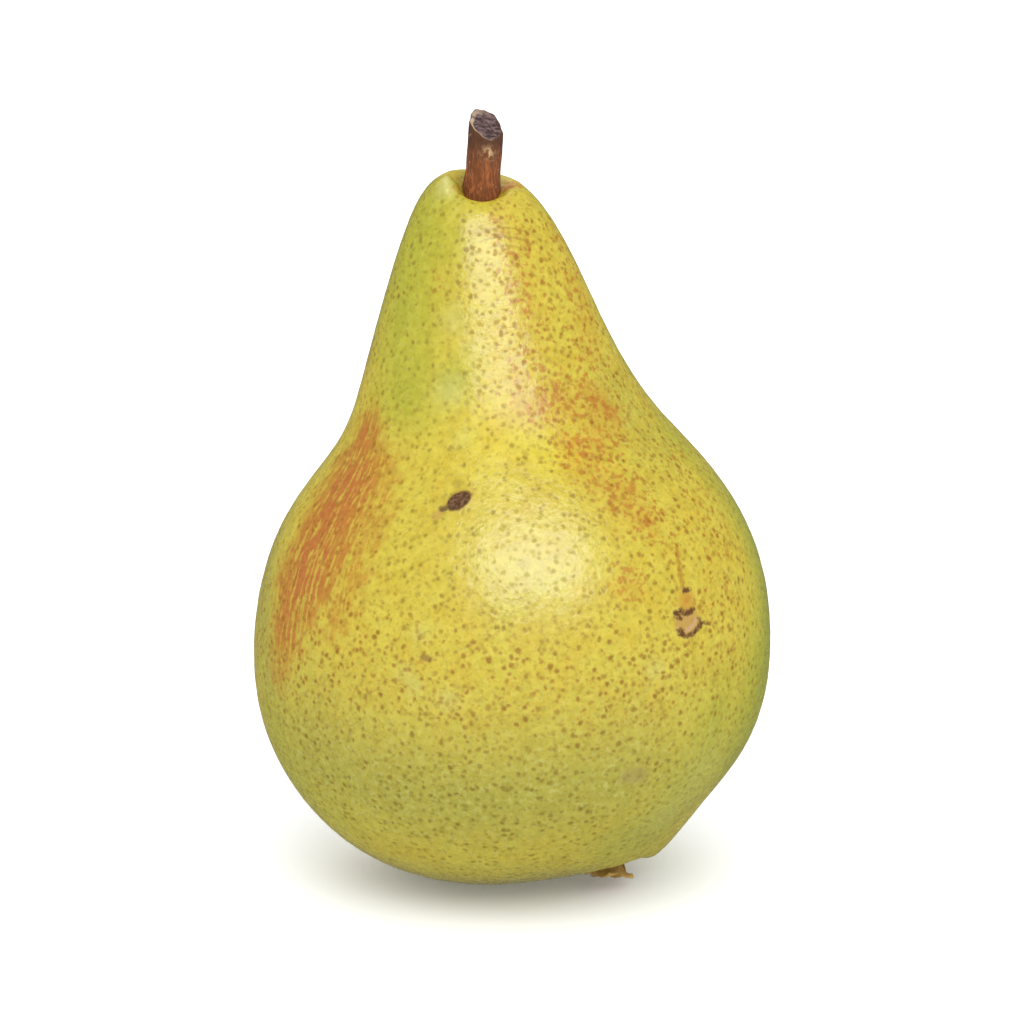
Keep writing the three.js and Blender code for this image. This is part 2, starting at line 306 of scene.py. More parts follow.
SPECKLED = [
    ([(-28, 28), (-12, 27), (4, 25), (18, 26), (28, 29)], 11, 1.0),
    ([(-24, 46), (-30, 30)], 9, 0.9),
    ([(12, 64), (20, 50), (26, 38)], 11, 1.0),
    ([(2, 84), (6, 70)], 9, 0.8),
    ([(-16, 76)], 8, 0.5),
]
GREEN = [
    ([(-12, 88), (-14.5, 76), (-14, 66)], 8, 0.65),
    ([(-8.6, 66.5)], 5, 0.55),
    ([(33, 50), (34.4, 40), (34.2, 30), (31, 18)], 9, 0.95),
    ([(26, 22), (24, 12), (18, 6)], 8, 0.6),
    ([(22, 58), (30, 48)], 6, 0.5),
    ([(10, 84), (4, 92)], 4, 0.45),
    ([(-32, 20), (-25, 8)], 8, 0.5),
    ([(4, 94), (-6, 94)], 3, 0.3),
]
# Olive patches: partly the skin's own olive, partly painted shade along the left edge, the left neck edge and
# the bottom
OLIVE_AND_SHADE_PATCHES = [
    ([(20, 12), (26, 14), (14, 6)], 9, 0.7),
    ([(-26, 16), (-12, 11), (2, 11), (14, 13)], 11, 1.0),
    ([(14, 64), (18, 58)], 5, 0.45),
    ([(-32, 44), (-33, 30), (-29, 18)], 5, 0.75),
    ([(-14.5, 92), (-17.5, 80), (-19, 70)], 3, 0.7),
]
DULL = [
    ([(-4, 58), (1, 57), (5, 56)], 5, 0.8),
    ([(-3, 89.5)], 3, 0.4),
]
STEPS_PER_SPOT = 12
HIDDEN_SIDE = {"green": 0.75, "onset": 1.4, "right_flank": 0.6}  # it stays greener
# The skin turns olive towards the bottom: partly its own colour, partly painted shade
UNDERSIDE = {"olive": 0.8, "height": 16}
RUSSET_AT_STEM = 4.6
RUSSET_AT_CALYX = 5.5


def spread(patches):
    """How strongly a set of patches colours each point of the skin."""
    value = np.zeros(len(SKIN))
    for spots, reach, strength in patches:
        path = np.array([seen_at(*spot) for spot in spots])
        steps = np.linspace(0, len(path) - 1, STEPS_PER_SPOT * (len(path) - 1) + 1)
        line = np.column_stack([np.interp(steps, np.arange(len(path)), path[:, k]) for k in range(3)])
        distance = np.min([np.linalg.norm(SKIN - p, axis=1) for p in line], axis=0)
        value = np.maximum(value, strength * np.exp(-((distance / reach) ** 2)))
    return value


def closeness(centre, reach):
    """1 at the centre, and less further away along the skin and through it."""
    return np.exp(-((np.linalg.norm(SKIN - centre, axis=1) / reach) ** 2))


def growth_lines():
    """Coordinates, in millimetres, whose third runs from the calyx to the stem along the surface."""
    grid = SKIN[1:-1].reshape(SKIN_RINGS, AROUND, 3)
    steps = np.linalg.norm(np.diff(grid, axis=0), axis=2).mean(1)
    rises = np.repeat(np.concatenate(([0], np.cumsum(steps))), AROUND)
    angles = np.tile(np.arange(AROUND) * math.tau / AROUND, SKIN_RINGS)
    lines = np.column_stack((GROWTH_RADIUS * np.cos(angles), GROWTH_RADIUS * np.sin(angles), rises))
    return np.vstack((np.zeros(3), lines, (0, 0, rises[-1])))


def skin_values():
    """The values that the skin's material reads at each point."""
    right_flank = np.clip(SKIN_NORMALS[:, 0], 0, 1)
    behind = SKIN_NORMALS[:, 1] * HIDDEN_SIDE["onset"] + HIDDEN_SIDE["right_flank"] * right_flank
    low = np.clip(1 - SKIN[:, 2] / UNDERSIDE["height"], 0, 1)
    return {
        "lines": growth_lines(),
        "band": spread(BAND),
        # mottle: orange mottle, and painted shade beside the stem
        "mottle_and_shade": spread(MOTTLE_AND_SHADE),
        "speckled": spread(SPECKLED),
        "green": np.maximum(spread(GREEN), np.clip(behind, 0, 1) * HIDDEN_SIDE["green"]),
        # pale: pale patches of the skin and painted highlights
        "pale": spread(PALE_AND_HIGHLIGHT_PATCHES),
        "dull": spread(DULL),
        # olive: partly the skin's own olive, partly painted shade at the bottom and the edges
        "olive": np.maximum(spread(OLIVE_AND_SHADE_PATCHES), low * UNDERSIDE["olive"]),
        "russet": np.maximum(
            closeness(stood(PIT_FLOOR), RUSSET_AT_STEM),
            closeness(stood(BASIN_FLOOR), RUSSET_AT_CALYX),
        ),
    }


# Marks on the skin, as the front view shows them: (across, up) in millimetres

SCAB = {"at": (-7.0, 49.9), "half": (1.75, 1.0), "turn": math.radians(33)}
SCAB_RELIEF = (0.2, 1.15, 0.6)  # rise, share of the half sizes where it ends, power
SCAB_TAIL = [(-8.0, 49.2), (-9.2, 48.75)]
SCAR = {"at": (22.9, 34.2), "half": (1.6, 1.9)}
SCAR_RELIEF = {"rise": 0.1, "ring": 0.3, "hollow": 1.6, "fall": 3, "reach": 3}
SCAR_BLUSH = {"at": (22.9, 37.2), "half": (1.2, 1.5)}
SCAR_THICK = [
    [(21.35, 35.3), (21.75, 35.75), (22.2, 35.7), (22.6, 35.35), (23.1, 35.4), (23.6, 35.9)],
    [(21.6, 35.2), (21.9, 34.7)],
    [(21.85, 33.2), (22.1, 32.55), (22.8, 32.35), (23.5, 32.7), (24.25, 33.35), (24.75, 34.0)],
    [(22.5, 38.35), (23.0, 38.4)],
]
SCAR_THIN = [
    [(24.75, 34.0), (24.35, 34.8)],
    [(24.9, 34.1), (25.4, 34.15), (25.9, 33.9)],
]
SCAR_PALE_LINE = [(22.9, 33.2), (23.7, 33.8), (24.05, 34.5)]
SCAR_STREAK = [(22.5, 38.4), (22.1, 40.0), (21.9, 41.4), (21.5, 43.9)]
WRINKLES = {"at": (-1.0, 84.8), "radius": 7.5, "step": 0.6, "half": (4.6, 2.2)}
LIP_SWELL = {"at": (-8.7, 91.2), "radius": 1.3, "rise": 0.5}
MARK_REACH = 6
MARK_FADE = (12, 14)  # a mark's mask ends between these distances, so that the back stays free of it
MARK_WAVES = 1.6  # of the raggedness of its edge, per millimetre


def front_axes(turn=0.0):
    """Across and up directions of the front view, turned."""
    c, s = math.cos(turn), math.sin(turn)
    across, up = Vector((1, 0, 0)), Vector(VIEW_UP)
    return across * c + up * s, up * c - across * s


def away_from(mark):
    """Distance of each point of the skin from a mark's middle, in millimetres."""
    return np.linalg.norm(SKIN - seen_at(*mark["at"]), axis=1)


def scab_relief():
    """An oval crust with a steep edge."""
    across, up = front_axes(SCAB["turn"])
    offset = SKIN - seen_at(*SCAB["at"])
    share = np.hypot(offset @ np.array(across) / SCAB["half"][0], offset @ np.array(up) / SCAB["half"][1])
    rise, edge, power = SCAB_RELIEF
    return np.where(away_from(SCAB) < MARK_REACH, rise * np.clip(edge - share, 0, 1) ** power, 0)


def scar_relief():
    """A low ring round a shallow hollow."""
    share = away_from(SCAR) / SCAR["half"][0]
    ring = np.exp(-(((share - 1) / SCAR_RELIEF["ring"]) ** 2))
    hollow = SCAR_RELIEF["hollow"] * np.exp(-SCAR_RELIEF["fall"] * share**2)
    return np.where(share < SCAR_RELIEF["reach"], SCAR_RELIEF["rise"] * (ring - hollow), 0)


def peel_relief():
    """The low unevenness of the peel, never above the smooth shape."""
    slow, quick = PEEL_WAVES
    points = [Vector(p) for p in SKIN.tolist()]
    peel = [noise.noise(p * slow) + PEEL_QUICK_SHARE * noise.noise(p * quick) for p in points]
    return -SKIN_INSET - PEEL_DEPTH * (1 + np.array(peel))


def skin_relief():
    """How far each point of the skin stands out from the smooth shape, in millimetres."""
    lip = LIP_SWELL["rise"] * np.exp(-((away_from(LIP_SWELL) / LIP_SWELL["radius"]) ** 2))
    crease = STEM_CREASE["depth"] * closeness(stood(PIT_FLOOR), STEM_CREASE["reach"])
    return peel_relief() + scab_relief() + scar_relief() + lip - crease


# Tools for the materials

SURFACE_SHARE = 0.65  # the studio shows a surface brighter than its own colour by the inverse of this


def srgb(red, green, blue, share=1.0):
    """A colour as the shader wants it, from its 0 to 255 values on a screen, and dimmed to a share."""
    parts = [c / 255 for c in (red, green, blue)]
    linear = [c / 12.92 if c <= 0.04045 else ((c + 0.055) / 1.055) ** 2.4 for c in parts]
    return (*(share * c for c in linear), 1.0)


def lit(red, green, blue):
    """The colour of a surface that shows in this studio's bright light as the given one."""
    return srgb(red, green, blue, SURFACE_SHARE)


class Nodes:
    """Adds nodes to one material, with the surface's own coordinates in millimetres."""

    def __init__(self, name):
        self.material = bpy.data.materials.new(name)
        self.material.use_nodes = True
        self.tree = self.material.node_tree
        self.shader = self.tree.nodes["Principled BSDF"]
        coordinates = self.tree.nodes.new("ShaderNodeTexCoord").outputs["Object"]
        self.mm = self.vector("SCALE", coordinates, scale=1 / MM)

    def link(self, socket, value):
        if isinstance(value, bpy.types.NodeSocket):
            self.tree.links.new(value, socket)
        else:
            socket.default_value = value

    def math(self, operation, a, b, clamp=False):
        node = self.tree.nodes.new("ShaderNodeMath")
        node.operation = operation
        node.use_clamp = clamp
        self.link(node.inputs[0], a)
        self.link(node.inputs[1], b)
        return node.outputs[0]

    def fold(self, operation, values):
        """One value from several, joined two by two."""
        result = values[0]
        for value in values[1:]:
            result = self.math(operation, result, value)
        return result

    def plus(self, *values):
        return self.fold("ADD", values)

    def times(self, *values):
        return self.fold("MULTIPLY", values)

    def most(self, *values):
        return self.fold("MAXIMUM", values)

    def minus(self, a, b):
        return self.math("SUBTRACT", a, b)

    def varied(self, value, texture, amount):
        """The value, moved up and down by a texture."""
        return self.plus(value, self.times(self.minus(texture, 0.5), amount))

    def vector(self, operation, a, b=None, scale=None):
        node = self.tree.nodes.new("ShaderNodeVectorMath")
        node.operation = operation
        self.link(node.inputs[0], a)
        if b is not None:
            self.link(node.inputs[1], b)
        if scale is not None:
            self.link(node.inputs["Scale"], scale)
        return node.outputs["Value"] if operation in ("DOT_PRODUCT", "LENGTH") else node.outputs[0]

    def stretched(self, x, y, z):
        """The coordinates scaled unevenly, so that a texture is drawn out where they are scaled least."""
        return self.vector("MULTIPLY", self.mm, (x, y, z))

    def streaked(self, squeeze):
        """The coordinates of the growth lines, squeezed so that a texture is drawn out along them."""
        return self.vector("MULTIPLY", self.value("lines", "Vector"), (1, 1, squeeze))

    def texture(self, kind, scale, vector=None):
        """A texture in the surface's own coordinates, or in the given ones."""
        node = self.tree.nodes.new(kind)
        self.link(node.inputs["Vector"], self.mm if vector is None else vector)
        node.inputs["Scale"].default_value = scale
        return node

    def shaken(self, scale, amount, vector=None, detail=2):
        """Coordinates pushed about by a noise, so that what is drawn in them turns out uneven."""
        node = self.texture("ShaderNodeTexNoise", scale)
        node.inputs["Detail"].default_value = detail
        push = self.vector("SUBTRACT", node.outputs["Color"], (0.5, 0.5, 0.5))
        push = self.vector("SCALE", push, scale=amount)
        return self.vector("ADD", self.mm if vector is None else vector, push)

    def noise(self, scale, detail=3, rough=0.55, vector=None, distortion=0.0):
        node = self.texture("ShaderNodeTexNoise", scale, vector)
        node.inputs["Detail"].default_value = detail
        node.inputs["Roughness"].default_value = rough
        node.inputs["Distortion"].default_value = distortion
        return node.outputs["Fac"]

    def cells(self, scale, vector=None):
        return self.texture("ShaderNodeTexVoronoi", scale, vector).outputs

    def ramp(self, value, low, high, start=0.0, end=1.0):
        """Goes smoothly from start to end while the value goes from low to high."""
        node = self.tree.nodes.new("ShaderNodeMapRange")
        node.interpolation_type = "SMOOTHSTEP"
        for socket, given in zip(node.inputs, (value, low, high, start, end)):
            self.link(socket, given)
        return node.outputs[0]

    def mix(self, share, a, b):
        node = self.tree.nodes.new("ShaderNodeMix")
        node.data_type = "RGBA"
        self.link(node.inputs["Factor"], share)
        first, second = (s for s in node.inputs if s.type == "RGBA")
        self.link(first, a)
        self.link(second, b)
        return next(s for s in node.outputs if s.type == "RGBA")

    def value(self, name, output="Fac"):
        node = self.tree.nodes.new("ShaderNodeAttribute")
        node.attribute_name = name
        return node.outputs[output]

    def facing(self):
        """0 where the surface is seen head-on and 1 where it is seen edge-on."""
        node = self.tree.nodes.new("ShaderNodeLayerWeight")
        node.inputs["Blend"].default_value = 0.5
        return node.outputs["Facing"]

    def brighter(self, colour, amount):
        node = self.tree.nodes.new("ShaderNodeHueSaturation")
        self.link(node.inputs["Color"], colour)
        self.link(node.inputs["Value"], amount)
        return node.outputs["Color"]

    def relief(self, height):
        """A bump from a height in millimetres."""
        node = self.tree.nodes.new("ShaderNodeBump")
        node.inputs["Distance"].default_value = MM
        node.inputs["Strength"].default_value = 1.0
        self.link(node.inputs["Height"], height)
        self.tree.links.new(node.outputs["Normal"], self.shader.inputs["Normal"])

    def set(self, **values):
        for name, value in values.items():
            self.link(self.shader.inputs[name.replace("_", " ")], value)


def front_place(n, place, wobble, turn=0.0):
    """A mark's own coordinates, across and up, with a ragged wobble; and a mask that is 1 near the mark."""
    offset = n.vector("SUBTRACT", n.mm, tuple(seen_at(*place)))
    near = n.ramp(n.vector("LENGTH", offset), *MARK_FADE, 1, 0)
    offset = n.shaken(MARK_WAVES, wobble, offset, detail=3)
    spot = n.tree.nodes.new("ShaderNodeCombineXYZ")
    for socket, axis in zip(spot.inputs, front_axes(turn)):
        n.link(socket, n.vector("DOT_PRODUCT", offset, tuple(axis)))
    return spot.outputs[0], near


def oval(n, spot, half):
    """1 at the edge of an oval round the spot's origin, less inside it."""
    return n.vector("LENGTH", n.vector("DIVIDE", spot, (*half, 1)))


def traced(n, spot, origin, lines):
    """Distance in millimetres from a mark's coordinates to the nearest of some lines of front-view points."""
    distances = []
    for line in lines:
        points = [Vector((x - origin[0], y - origin[1], 0)) for x, y in line]
        for start, end in zip(points, points[1:]):
            span = end - start
            offset = n.vector("SUBTRACT", spot, tuple(start))
            share = n.vector("DOT_PRODUCT", offset, tuple(span))
            share = n.math("DIVIDE", share, span.length_squared, clamp=True)
            along = n.vector("SCALE", tuple(span), scale=share)
            distances.append(n.vector("LENGTH", n.vector("SUBTRACT", offset, along)))
    return n.fold("MINIMUM", distances)


# The skin's colours and textures

YELLOW = lit(231, 212, 66)
WARM_YELLOW = lit(228, 201, 54)
GREEN_YELLOW = lit(200, 197, 50)
DEEP_GREEN = lit(162, 174, 34)
# OLIVE also paints the shade at the bottom and the edges
OLIVE = lit(184, 178, 62)
# PALE_YELLOW also paints the highlights
PALE_YELLOW = lit(224, 220, 118)
SHEEN = lit(214, 214, 118)
STROKE = lit(172, 142, 24)
ORANGE = lit(208, 138, 36)
RED_ORANGE = lit(206, 106, 46)
FLECK_ORANGE = lit(198, 120, 26)
DOT_OLIVE = lit(146, 124, 0)
DOT_ORANGE = lit(178, 110, 0)
RUSSET = lit(150, 104, 40)
SCAB_DARK = lit(96, 62, 24)
SCAB_PALE = lit(144, 102, 74)
SCAR_BROWN = lit(122, 74, 22)
SCAR_TAN = lit(210, 158, 86)
SCAR_PALE = lit(226, 184, 140)
SCAR_ORANGE = lit(218, 156, 46)
SMEAR = lit(190, 170, 30)
TAN_PATCH = lit(184, 164, 82)

# Small soft marks: place, half sizes, turn, colour, strength
SMUDGES = [
    ((-11.4, 29.3), (0.9, 0.45), math.radians(-12), RUSSET, 0.7),
    ((-7.2, 52.3), (0.9, 0.5), 0.0, SMEAR, 0.75),
    ((15.8, 13.8), (1.9, 1.2), math.radians(8), TAN_PATCH, 0.6),
    ((-9.6, 48.3), (1.0, 0.6), math.radians(30), SCAR_TAN, 0.45),
]

# Textures of the skin, in waves or cells per millimetre
BROAD_WAVES = 0.055
PATCH_WAVES = 0.24
FINE_WAVES = 0.95
SHEEN_GRAIN_WAVES = 1.5
STROKE_WAVES = 1.15
STREAK_WAVES = 2.1
STREAK_SQUEEZE = 0.13
CLOUD_WAVES = 0.5
NET_WAVES = 1.15
DOTS_PER_MM = 1.0
SMALL_DOTS_PER_MM = 1.6
CRUST_WAVES = 2.0
WORN_WAVES = 1.3

# How strong each layer of the skin is
BROAD_GREEN = 0.9
PATCH_GREEN = 0.5
OLIVE_SHARE = 0.8
PALE_SHARE = 0.8
SHEEN_SHARE = 0.16
SHEEN_SHARE_IN_OLIVE = 0.36
STROKE_SHARE = 0.34
STROKE_SHARE_IN_BLUSH = 0.16
BAND_CLOUDS = 0.8
BAND_SHARE = 0.92
NET_CONTRAST = 3.6
DOT_UNEVEN = 0.18  # how much further the largest dots reach than the smallest, in cells
DOT_EDGE = 0.39
DOT_SHARE = (0.26, 0.66)
DOT_SHARE_IN_SPECKLES = 0.24
SMALL_DOT_SHARE = 0.2


def ground(n):
    """Yellow skin, greener in places, paler in places and in painted highlights, olive and in part painted
    shade low down and at the edges, with a soft pale grain that is partly painted sheen.
    """
    patchy, olive = n.noise(PATCH_WAVES, detail=4), n.value("olive")
    colour = n.mix(n.ramp(patchy, 0.38, 0.66), YELLOW, WARM_YELLOW)
    greener = n.varied(n.value("green"), n.noise(BROAD_WAVES, detail=2), BROAD_GREEN)
    greener = n.varied(greener, patchy, PATCH_GREEN)
    colour = n.mix(n.ramp(greener, 0.05, 0.75), colour, GREEN_YELLOW)
    colour = n.mix(n.ramp(greener, 0.6, 1.25, 0, 0.8), colour, DEEP_GREEN)
    # Olive, in part painted shade low down and at the edges
    colour = n.mix(n.times(olive, OLIVE_SHARE), colour, OLIVE)
    # Pale patches and painted highlights
    colour = n.mix(n.times(n.value("pale"), PALE_SHARE), colour, PALE_YELLOW)
    # A pale grain, partly painted sheen, stronger where the skin is olive
    grain = n.ramp(n.noise(SHEEN_GRAIN_WAVES, rough=0.6), 0.5, 0.66)
    share = n.plus(SHEEN_SHARE, n.times(olive, SHEEN_SHARE_IN_OLIVE))
    return n.mix(n.times(grain, share), colour, SHEEN)


def add_strokes(n, colour, tinged):
    """Short uneven strokes between the dots, denser where the skin is speckled."""
    threshold = n.minus(0.61, n.times(n.value("speckled"), 0.04))
    stroke = n.ramp(n.minus(n.noise(STROKE_WAVES, distortion=0.5), threshold), -0.06, 0.12)
    share = n.plus(STROKE_SHARE, n.times(tinged, STROKE_SHARE_IN_BLUSH))
    return n.mix(n.times(stroke, share), colour, STROKE)


def add_band(n, colour):
    """The blush at the left: an orange red band with pale streaks along it."""
    lines = n.shaken(0.5, 0.7, n.streaked(STREAK_SQUEEZE))
    streaks = n.noise(STREAK_WAVES, detail=2, rough=0.5, vector=lines)
    between = n.ramp(streaks, 0.5, 0.62, 1, 0.3)
    banded = n.varied(n.value("band"), n.noise(CLOUD_WAVES, detail=4, rough=0.6), BAND_CLOUDS)
    band_colour = n.mix(n.ramp(banded, 0.55, 1.15), ORANGE, RED_ORANGE)
    return n.mix(n.times(n.ramp(banded, 0.2, 0.7, 0, BAND_SHARE), between), colour, band_colour)


def add_net(n, colour):
    """The orange at the right and on the neck: clusters that break up into a net, and painted shade in the
    hollow beside the stem.
    """
    mottle_and_shade = n.value("mottle_and_shade")
    net = n.noise(NET_WAVES, detail=2, rough=0.5, vector=n.shaken(0.6, 1.3))
    netted = n.times(n.varied(mottle_and_shade, net, NET_CONTRAST), n.ramp(mottle_and_shade, 0.03, 0.2))
    colour = n.mix(n.ramp(mottle_and_shade, 0.15, 0.9, 0, 0.42), colour, ORANGE)
    colour = n.mix(n.ramp(netted, 0.5, 0.95, 0, 0.7), colour, ORANGE)
    return n.mix(n.ramp(netted, 0.95, 1.6, 0, 0.7), colour, FLECK_ORANGE)


def add_dots(n, colour, tinged):
    """Dots of two sizes, uneven in strength: olive, or orange in the blush. Returns the large ones too."""
    olive = n.value("olive")
    dots = n.cells(DOTS_PER_MM, n.shaken(1.1, 0.7))
    chance, distance = dots["Color"], dots["Distance"]
    larger = n.times(n.vector("DOT_PRODUCT", chance, (1, 0, 0)), DOT_UNEVEN)
    dot = n.ramp(n.minus(distance, larger), 0, DOT_EDGE, 1, 0)
    strength = n.ramp(n.vector("DOT_PRODUCT", chance, (0, 1, 0)), 0, 1, *DOT_SHARE)
    strength = n.plus(strength, n.times(n.most(n.value("speckled"), olive), DOT_SHARE_IN_SPECKLES))
    clear = n.minus(1, n.times(n.value("pale"), 0.75))
    halo = n.times(n.ramp(distance, 0.15, 0.5, 1, 0), tinged, 0.3)
    colour = n.mix(halo, colour, ORANGE)
    dot_colour = n.mix(n.times(tinged, n.minus(1, n.times(olive, 0.7))), DOT_OLIVE, DOT_ORANGE)
    colour = n.mix(n.times(dot, strength, clear), colour, dot_colour)
    small = n.ramp(n.cells(SMALL_DOTS_PER_MM, n.shaken(1.7, 0.4))["Distance"], 0.08, 0.38, 1, 0)
    share = n.plus(SMALL_DOT_SHARE, n.times(tinged, 0.18), n.times(olive, 0.14))
    return n.mix(n.times(small, share, clear), colour, dot_colour), dot


def add_smudges(n, colour):
    for place, half, turn, stain, strength in SMUDGES:
        spot, near = front_place(n, place, 0.5, turn)
        colour = n.mix(n.times(n.ramp(oval(n, spot, half), 0.5, 1.4, strength, 0), near), colour, stain)
    return colour


def add_scab(n, colour):
    """A scab with a small tail, darker at its rim. Returns its mask too."""
    turned, near = front_place(n, SCAB["at"], 0.35, SCAB["turn"])
    body = oval(n, turned, SCAB["half"])
    spot, _ = front_place(n, SCAB["at"], 0.35)
    tail = n.ramp(traced(n, spot, SCAB["at"], [SCAB_TAIL]), 0.12, 0.5, 0.8, 0)
    scab = n.times(n.most(n.ramp(body, 0.84, 1.16, 1, 0), tail), near)
    stain = n.times(n.ramp(body, 1.0, 1.7, 0.3, 0), near)
    crust = n.most(n.ramp(n.noise(CRUST_WAVES, detail=2), 0.36, 0.6), n.ramp(body, 0.6, 1.0, 0, 0.8))
    colour = n.mix(stain, colour, DOT_ORANGE)
    return n.mix(scab, colour, n.mix(crust, SCAB_PALE, SCAB_DARK)), scab


def add_scar(n, colour):
    """A healed scar, tan inside, with a broken dark rim and a streak above. Returns the rim's mask too."""
    at = SCAR["at"]
    spot, near = front_place(n, at, 0.9)
    above, _ = front_place(n, SCAR_BLUSH["at"], 0.8)
    soft_layers = [
        (n.ramp(oval(n, spot, SCAR["half"]), 0.6, 1.35, 0.75, 0), SCAR_TAN),
        (n.ramp(oval(n, above, SCAR_BLUSH["half"]), 0.2, 1.5, 0.75, 0), SCAR_ORANGE),
        (n.ramp(traced(n, spot, at, [SCAR_STREAK]), 0.0, 0.5, 0.6, 0), DOT_ORANGE),
        (n.ramp(traced(n, spot, at, [SCAR_PALE_LINE]), 0.05, 0.4, 0.6, 0), SCAR_PALE),
    ]
    for share, stain in soft_layers:
        colour = n.mix(n.times(share, near), colour, stain)
    thick = n.ramp(traced(n, spot, at, SCAR_THICK), 0.08, 0.5, 1, 0)
    thin = n.ramp(traced(n, spot, at, SCAR_THIN), 0.0, 0.3, 0.7, 0)
    worn = n.ramp(n.noise(WORN_WAVES, detail=2), 0.32, 0.56, 0.6, 1)
    scar = n.times(n.most(thick, thin), worn, near)
    return n.mix(scar, colour, SCAR_BROWN), scar


def add_wrinkles(n, colour):
    """Faint wrinkles that arch across the neck."""
    spot, near = front_place(n, WRINKLES["at"], 0.5)
    arch = n.vector("LENGTH", n.vector("ADD", spot, (0, WRINKLES["radius"], 0)))
    ripple = n.math("PINGPONG", n.minus(arch, WRINKLES["radius"]), WRINKLES["step"])
    inside = n.ramp(oval(n, spot, WRINKLES["half"]), 0.5, 1.1, 1, 0)
    return n.mix(n.times(n.ramp(ripple, 0.04, 0.28, 0.5, 0), near, inside), colour, STROKE)


def skin_bumps(n, dot, marked):
    """The fine relief of the peel, in millimetres: low waves, sunken dots, rough marks."""
    waves = n.plus(n.times(n.noise(0.8, detail=2), 0.09), n.times(n.noise(2.2), 0.045))
    return n.plus(waves, n.times(dot, -0.02), n.times(marked, n.noise(2.2, detail=4), 0.35))


def skin_material():
    n = Nodes("pear_skin")
    fine, russet = n.noise(FINE_WAVES, detail=4, rough=0.6), n.value("russet")
    blushed = n.plus(n.value("band"), n.value("mottle_and_shade"))
    tinged = n.math("ADD", n.times(n.value("speckled"), 0.6), blushed, clamp=True)

    colour = ground(n)
    colour = add_strokes(n, colour, tinged)
    colour = add_band(n, colour)
    colour = add_net(n, colour)
    colour, dot = add_dots(n, colour, tinged)
    colour = n.brighter(colour, n.ramp(fine, 0.3, 0.7, 0.9, 1.08))
    corky = n.varied(russet, fine, 1.1)
    colour = n.mix(n.ramp(corky, 0.5, 0.95, 0, 0.85), colour, RUSSET)
    colour = add_smudges(n, colour)
    colour, scab = add_scab(n, colour)
    colour, scar = add_scar(n, colour)
    colour = add_wrinkles(n, colour)

    marked = n.most(scab, scar)
    dull = n.most(n.times(marked, 0.7), n.times(dot, 0.4), n.value("dull"))
    rough = n.plus(n.ramp(fine, 0.25, 0.75, 0.21, 0.3), n.times(dot, 0.12))
    rough = n.plus(rough, n.times(n.most(marked, russet), 0.35))
    n.relief(skin_bumps(n, dot, marked))
    n.set(
        Base_Color=colour,
        Roughness=rough,
        Specular_IOR_Level=n.times(n.ramp(n.facing(), 0.3, 0.8, 1.0, 0.3), n.minus(1, dull)),
        Subsurface_Weight=0.08,
        Subsurface_Radius=(1.0, 0.7, 0.25),
        Subsurface_Scale=0.003,
    )
    return n.material


# The stem's bark and its cut face

BARK_RED = lit(186, 108, 56)
BARK_DARK = lit(106, 66, 38)
BARK_GRAIN = lit(108, 60, 30)
BARK_FLECK = lit(230, 190, 138)
CUT_GREY = lit(150, 122, 122)
CUT_DARK = lit(84, 60, 60)
CUT_PALE = lit(232, 206, 172)

BARK_GRAIN_WAVES = 3.2
BARK_SQUEEZE = 0.18  # draws the grain out up the stem
BLOTCH_WAVES = 0.55
FLECKS_PER_MM = 1.5
SAW_WAVES = 2.4


def bark_material():
    n = Nodes("stem_bark")
    grain = n.noise(BARK_GRAIN_WAVES, detail=4, rough=0.6, vector=n.stretched(1, 1, BARK_SQUEEZE))
    blotch = n.noise(BLOTCH_WAVES)
    colour = n.mix(n.ramp(n.varied(n.value("height"), blotch, 0.5), 0.3, 0.8), BARK_RED, BARK_DARK)
    colour = n.mix(n.ramp(grain, 0.42, 0.62, 0.6, 0), colour, BARK_GRAIN)
    flecks = n.ramp(n.cells(FLECKS_PER_MM)["Distance"], 0.1, 0.2, 1, 0)
    flecks = n.times(flecks, n.ramp(blotch, 0.5, 0.62, 0, 0.7))
    scuff = n.times(n.value("scuff"), n.ramp(n.noise(1.8), 0.42, 0.56))
    colour = n.mix(n.most(flecks, scuff), colour, BARK_FLECK)

    cut = n.value("cut")
    sawn = n.noise(SAW_WAVES, vector=n.stretched(0.35, 1.2, 1.6))
    colour = n.mix(cut, colour, n.mix(n.ramp(sawn, 0.4, 0.62), CUT_DARK, CUT_GREY))
    pale_rim = n.times(n.value("rim"), n.ramp(n.noise(1.4), 0.3, 0.5, 0.25, 1))
    colour = n.mix(pale_rim, colour, CUT_PALE)
    n.relief(n.plus(n.times(n.ramp(grain, 0.35, 0.65), 0.12), n.times(sawn, cut, 0.2)))
    n.set(Base_Color=colour, Roughness=n.ramp(grain, 0.3, 0.7, 0.62, 0.85), Specular_IOR_Level=0.35)
    return n.material


# The dried sepals

SEPAL_BROWN = lit(196, 148, 72)
SEPAL_TAN = lit(230, 188, 108)
SEPAL_DARK = lit(116, 84, 34)

PAPERY_WAVES = 1.3
VEIN_WAVES = 5


def calyx_material():
    n = Nodes("dried_calyx")
    papery = n.noise(PAPERY_WAVES, detail=4, rough=0.65)
    shade = n.varied(n.value("tip"), papery, 0.8)
    colour = n.mix(n.ramp(shade, 0.1, 0.5), SEPAL_DARK, SEPAL_BROWN)
    colour = n.mix(n.ramp(shade, 0.45, 0.95), colour, SEPAL_TAN)
    n.relief(n.times(n.noise(VEIN_WAVES, detail=2, vector=n.stretched(1.4, 1.4, 0.5)), 0.12))
    n.set(Base_Color=colour, Roughness=n.ramp(papery, 0.3, 0.7, 0.7, 0.9), Specular_IOR_Level=0.25)
    return n.material


# Pieces


